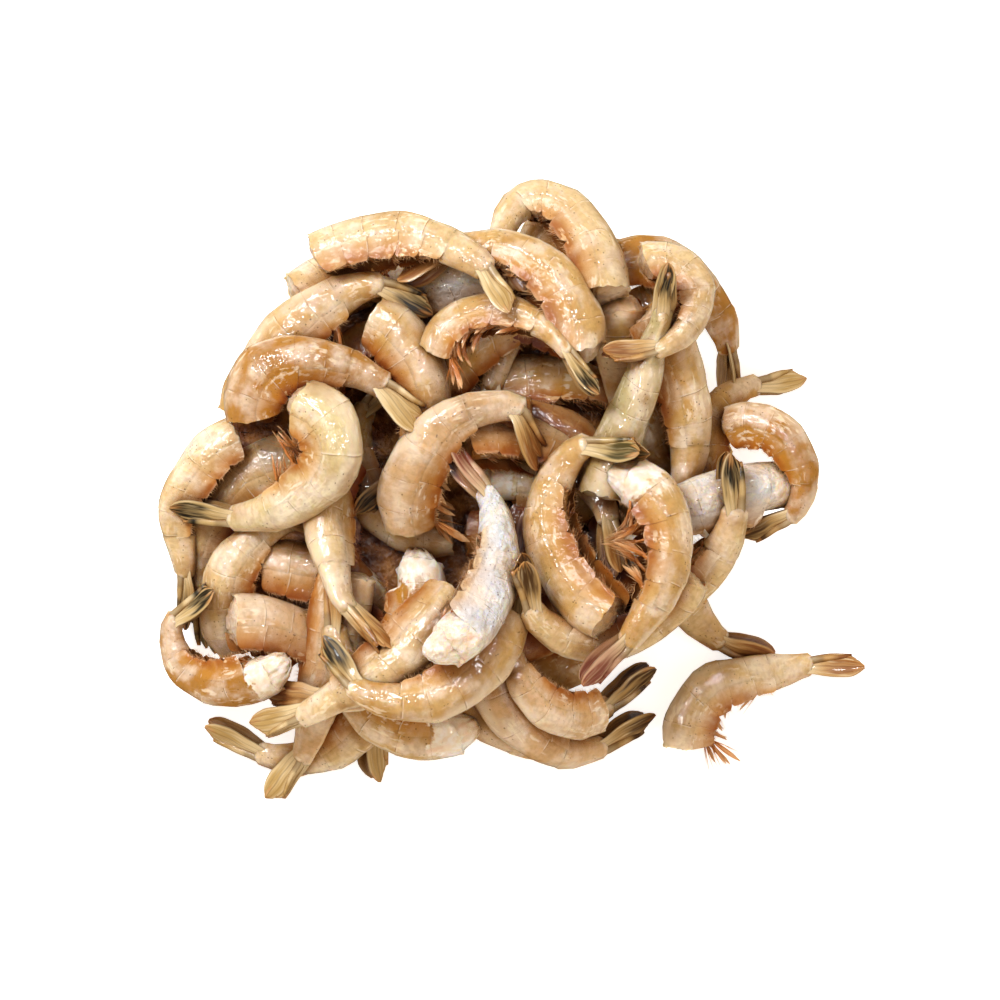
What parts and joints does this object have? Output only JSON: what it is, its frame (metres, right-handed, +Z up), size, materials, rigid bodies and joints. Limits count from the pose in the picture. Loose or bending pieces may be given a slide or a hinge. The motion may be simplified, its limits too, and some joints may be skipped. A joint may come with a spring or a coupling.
{
  "type": "heap of raw headless shrimp",
  "caption": "Loose low heap of raw shell-on headless shrimp, curled and lying over each other, with tail fans and swimmerets, resting flat on a surface.",
  "frame": {"origin": "the middle of the heap's footprint, on the surface that it lies on", "axes": "+Z up, +Y towards the top of the picture, +X towards its right"},
  "size_m": [0.2356, 0.2088, 0.068],
  "materials": {
    "raw_shrimp_shell": "wet translucent shell, grey-cream to tan with fine dark specks"
  },
  "bodies": {
    "root": {"shrimp_heap": "raw_shrimp_shell"}
  },
  "joints": []
}
